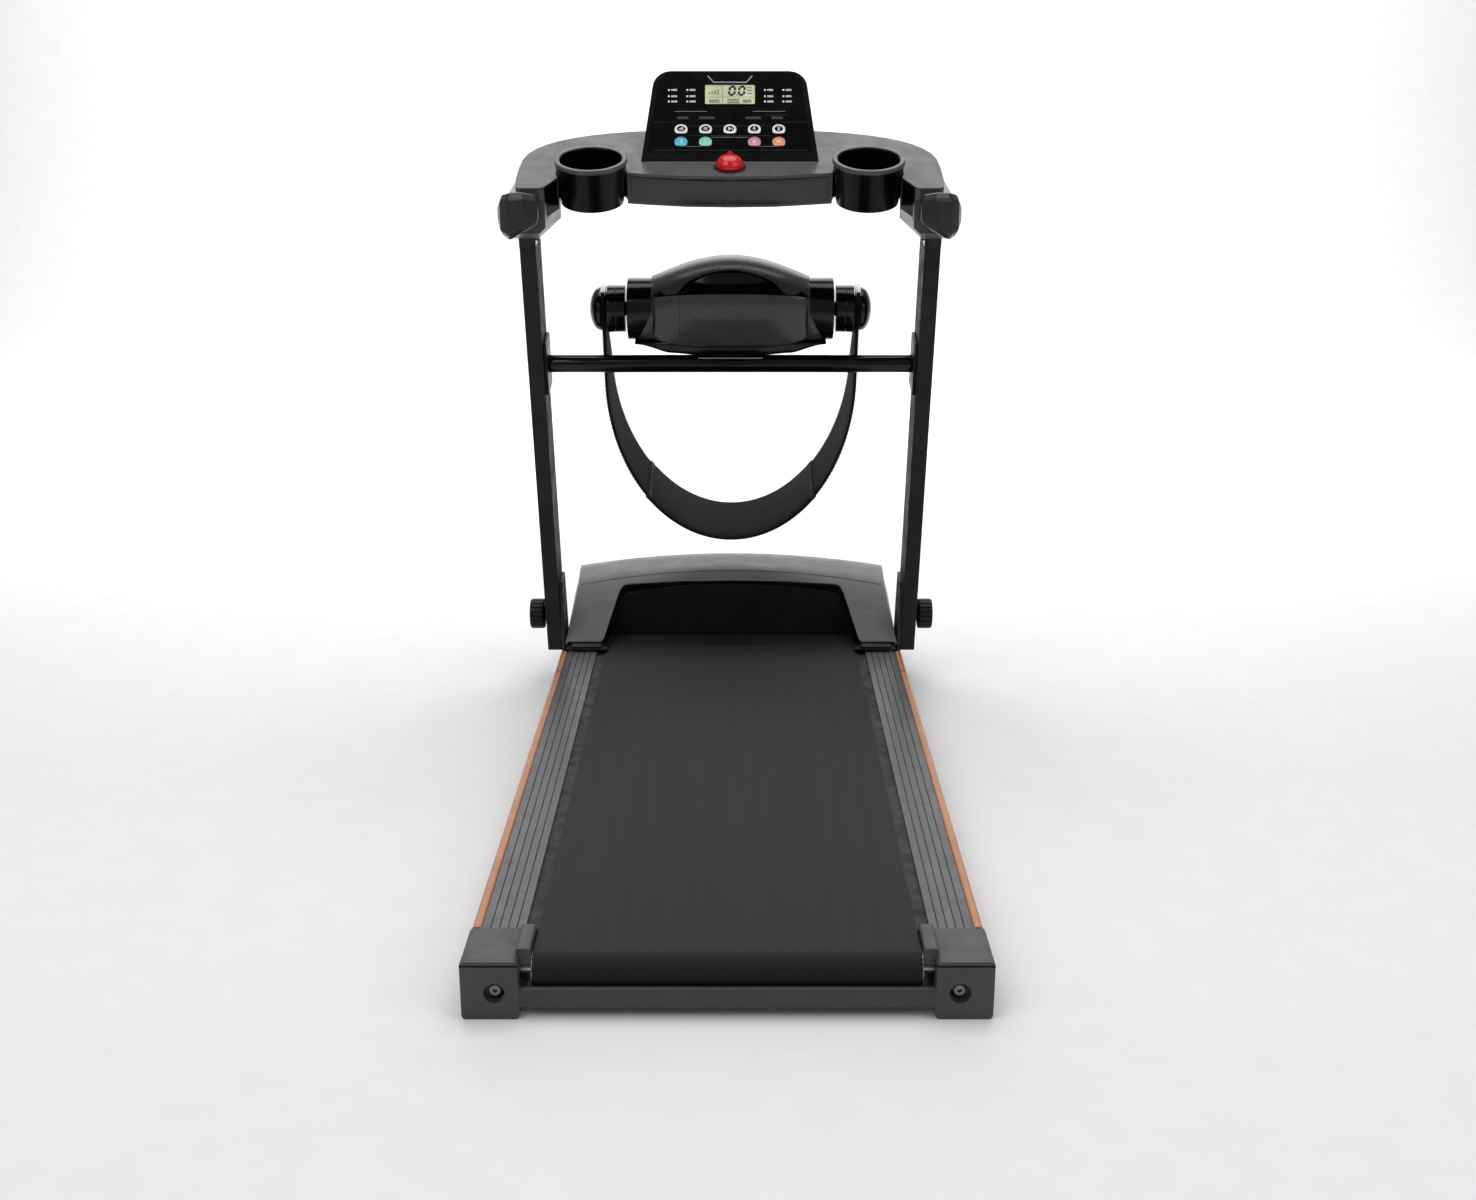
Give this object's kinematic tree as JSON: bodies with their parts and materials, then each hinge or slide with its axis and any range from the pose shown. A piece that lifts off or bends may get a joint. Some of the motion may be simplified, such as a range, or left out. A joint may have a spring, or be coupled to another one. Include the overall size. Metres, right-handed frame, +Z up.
{
  "type": "folding treadmill",
  "caption": "Folding home treadmill: low running deck with side rails, leaning mast with console tray, cup holders, hand grips and a waist-strap massager.",
  "frame": {"origin": "centre of the bounding box on the floor", "axes": "+Y forward, the way the walker faces; +X to the walker's right; +Z up"},
  "size_m": [0.765, 1.455, 1.1189],
  "materials": {
    "painted_steel": "satin black powder coat, fine orange peel",
    "upright_paint": "matt charcoal powder coat",
    "zinc_steel": "zinc plated, turned",
    "deck_wood": "black faced fibreboard",
    "belt_rubber": "fine diamond grain, matt",
    "rail_plastic": "ribbed mid grey, satin",
    "trim_copper": "copper orange satin strip",
    "cap_plastic": "grey moulded plastic, fine grain",
    "hood_plastic": "dark grey polished plastic",
    "black_plastic": "black moulded plastic",
    "gloss_black": "piano black, polished",
    "satin_black": "charcoal satin plastic",
    "tray_plastic": "satin grey soft-touch plastic",
    "grip_rubber": "soft satin rubber",
    "strap_webbing": "black woven webbing with a padded centre",
    "circuit_board": "green board",
    "display_glass": "pale green reflective display",
    "key_red": "glossy red",
    "button_white": "white soft-touch",
    "button_blue": "light blue",
    "button_mint": "mint",
    "button_pink": "pink",
    "button_orange": "orange"
  },
  "bodies": {
    "deck": {"frame_side_left": "painted_steel", "frame_side_right": "painted_steel", "frame_cross_rear": "painted_steel", "frame_cross_front": "painted_steel", "deck_board": "deck_wood", "running_belt": "belt_rubber", "side_rail_left": "rail_plastic", "side_rail_right": "rail_plastic", "trim_strip_left": "trim_copper", "trim_strip_right": "trim_copper", "end_cap_left": "cap_plastic", "end_cap_right": "cap_plastic", "rear_axle": "zinc_steel", "front_axle": "zinc_steel", "drive_motor": "black_plastic", "drive_belt": "belt_rubber", "motor_controller": "circuit_board", "motor_cover": "hood_plastic", "belt_guard": "black_plastic", "belly_pan": "black_plastic", "pivot_plate_left": "painted_steel", "pivot_plate_right": "painted_steel", "power_inlet": "black_plastic"},
    "mast": {"upright_left": "upright_paint", "upright_right": "upright_paint", "cross_tube": "gloss_black", "massage_housing": "gloss_black", "massage_shell_front": "satin_black", "massage_shell_top": "satin_black", "console_tray": "tray_plastic", "console_underside": "gloss_black", "cup_holder_left": "gloss_black", "cup_holder_right": "gloss_black", "hand_grip_left": "grip_rubber", "hand_grip_right": "grip_rubber", "console_housing": "gloss_black", "console_face": "gloss_black", "display_window": "display_glass"},
    "rear_roller": {"rear_roller": "zinc_steel"},
    "front_roller": {"front_roller": "zinc_steel"},
    "motor_pulley": {"motor_pulley": "zinc_steel"},
    "tension_bolt_left": {"tension_bolt_left": "zinc_steel"},
    "tension_bolt_right": {"tension_bolt_right": "zinc_steel"},
    "wheel_left": {"wheel_left": "belt_rubber"},
    "wheel_right": {"wheel_right": "belt_rubber"},
    "power_switch": {"power_switch": "black_plastic"},
    "fold_knob_left": {"fold_knob_left": "black_plastic"},
    "fold_knob_right": {"fold_knob_right": "black_plastic"},
    "massage_shaft": {"massage_shaft": "gloss_black"},
    "massage_belt": {"massage_belt": "strap_webbing"},
    "safety_key": {"safety_key": "key_red"},
    "button_program": {"button_program": "button_white"},
    "button_mode": {"button_mode": "button_white"},
    "button_start": {"button_start": "button_white"},
    "button_faster": {"button_faster": "button_white"},
    "button_slower": {"button_slower": "button_white"},
    "button_speed_low": {"button_speed_low": "button_blue"},
    "button_speed_mid": {"button_speed_mid": "button_mint"},
    "button_speed_high": {"button_speed_high": "button_pink"},
    "button_massage": {"button_massage": "button_orange"}
  },
  "joints": [
    {"name": "mast_fold", "type": "hinge", "parent": "deck", "child": "mast", "pos_m": [0, 0.50382, 0.13572], "axis": [1, 0, 0], "range_deg": [0, 55]},
    {"name": "front_roller_spin", "type": "hinge", "parent": "deck", "child": "front_roller", "pos_m": [0, 0.5725, 0.052], "axis": [1, 0, 0], "continuous": true},
    {"name": "rear_roller_spin", "type": "hinge", "parent": "deck", "child": "rear_roller", "pos_m": [0, -0.694, 0.052], "axis": [1, 0, 0], "continuous": true},
    {"name": "motor_pulley_spin", "type": "hinge", "parent": "deck", "child": "motor_pulley", "pos_m": [0, 0.6475, 0.086], "axis": [1, 0, 0], "continuous": true},
    {"name": "tension_bolt_left_turn", "type": "hinge", "parent": "deck", "child": "tension_bolt_left", "pos_m": [-0.2825, -0.719, 0.0348], "axis": [0, 1, 0], "continuous": true},
    {"name": "wheel_left_spin", "type": "hinge", "parent": "deck", "child": "wheel_left", "pos_m": [-0.326, 0.6775, 0.0245], "axis": [1, 0, 0], "continuous": true},
    {"name": "fold_knob_left_turn", "type": "hinge", "parent": "mast", "child": "fold_knob_left", "pos_m": [-0.368, 0.50382, 0.13572], "axis": [1, 0, 0], "continuous": true},
    {"name": "tension_bolt_right_turn", "type": "hinge", "parent": "deck", "child": "tension_bolt_right", "pos_m": [0.2825, -0.719, 0.0348], "axis": [0, 1, 0], "continuous": true},
    {"name": "wheel_right_spin", "type": "hinge", "parent": "deck", "child": "wheel_right", "pos_m": [0.326, 0.6775, 0.0245], "axis": [1, 0, 0], "continuous": true},
    {"name": "fold_knob_right_turn", "type": "hinge", "parent": "mast", "child": "fold_knob_right", "pos_m": [0.368, 0.50382, 0.13572], "axis": [1, 0, 0], "continuous": true},
    {"name": "power_switch_rock", "type": "hinge", "parent": "deck", "child": "power_switch", "pos_m": [-0.135, 0.72, 0.071], "axis": [1, 0, 0], "range_deg": [-8, 8]},
    {"name": "massage_shaft_spin", "type": "hinge", "parent": "mast", "child": "massage_shaft", "pos_m": [0, 0.39814, 0.72571], "axis": [1, 0, 0], "continuous": true},
    {"name": "massage_belt_swing", "type": "hinge", "parent": "mast", "child": "massage_belt", "pos_m": [0, 0.39814, 0.72571], "axis": [1, 0, 0], "range_deg": [0, 60]},
    {"name": "safety_key_pull", "type": "slide", "parent": "mast", "child": "safety_key", "axis": [0, -0.3173, 0.9483], "range_m": [0, 0.025]},
    {"name": "button_program_press", "type": "slide", "parent": "mast", "child": "button_program", "axis": [0, 0.8829, -0.4695], "range_m": [0, 0.0012], "stiffness_N_per_m": 500},
    {"name": "button_mode_press", "type": "slide", "parent": "mast", "child": "button_mode", "axis": [0, 0.8829, -0.4695], "range_m": [0, 0.0012], "stiffness_N_per_m": 500},
    {"name": "button_start_press", "type": "slide", "parent": "mast", "child": "button_start", "axis": [0, 0.8829, -0.4695], "range_m": [0, 0.0012], "stiffness_N_per_m": 500},
    {"name": "button_faster_press", "type": "slide", "parent": "mast", "child": "button_faster", "axis": [0, 0.8829, -0.4695], "range_m": [0, 0.0012], "stiffness_N_per_m": 500},
    {"name": "button_slower_press", "type": "slide", "parent": "mast", "child": "button_slower", "axis": [0, 0.8829, -0.4695], "range_m": [0, 0.0012], "stiffness_N_per_m": 500},
    {"name": "button_speed_low_press", "type": "slide", "parent": "mast", "child": "button_speed_low", "axis": [0, 0.8829, -0.4695], "range_m": [0, 0.0012], "stiffness_N_per_m": 500},
    {"name": "button_speed_mid_press", "type": "slide", "parent": "mast", "child": "button_speed_mid", "axis": [0, 0.8829, -0.4695], "range_m": [0, 0.0012], "stiffness_N_per_m": 500},
    {"name": "button_speed_high_press", "type": "slide", "parent": "mast", "child": "button_speed_high", "axis": [0, 0.8829, -0.4695], "range_m": [0, 0.0012], "stiffness_N_per_m": 500},
    {"name": "button_massage_press", "type": "slide", "parent": "mast", "child": "button_massage", "axis": [0, 0.8829, -0.4695], "range_m": [0, 0.0012], "stiffness_N_per_m": 500}
  ],
  "couplings": [
    {"joint": "rear_roller_spin", "follows": "front_roller_spin", "ratio": 1},
    {"joint": "motor_pulley_spin", "follows": "front_roller_spin", "ratio": 2.1429}
  ]
}
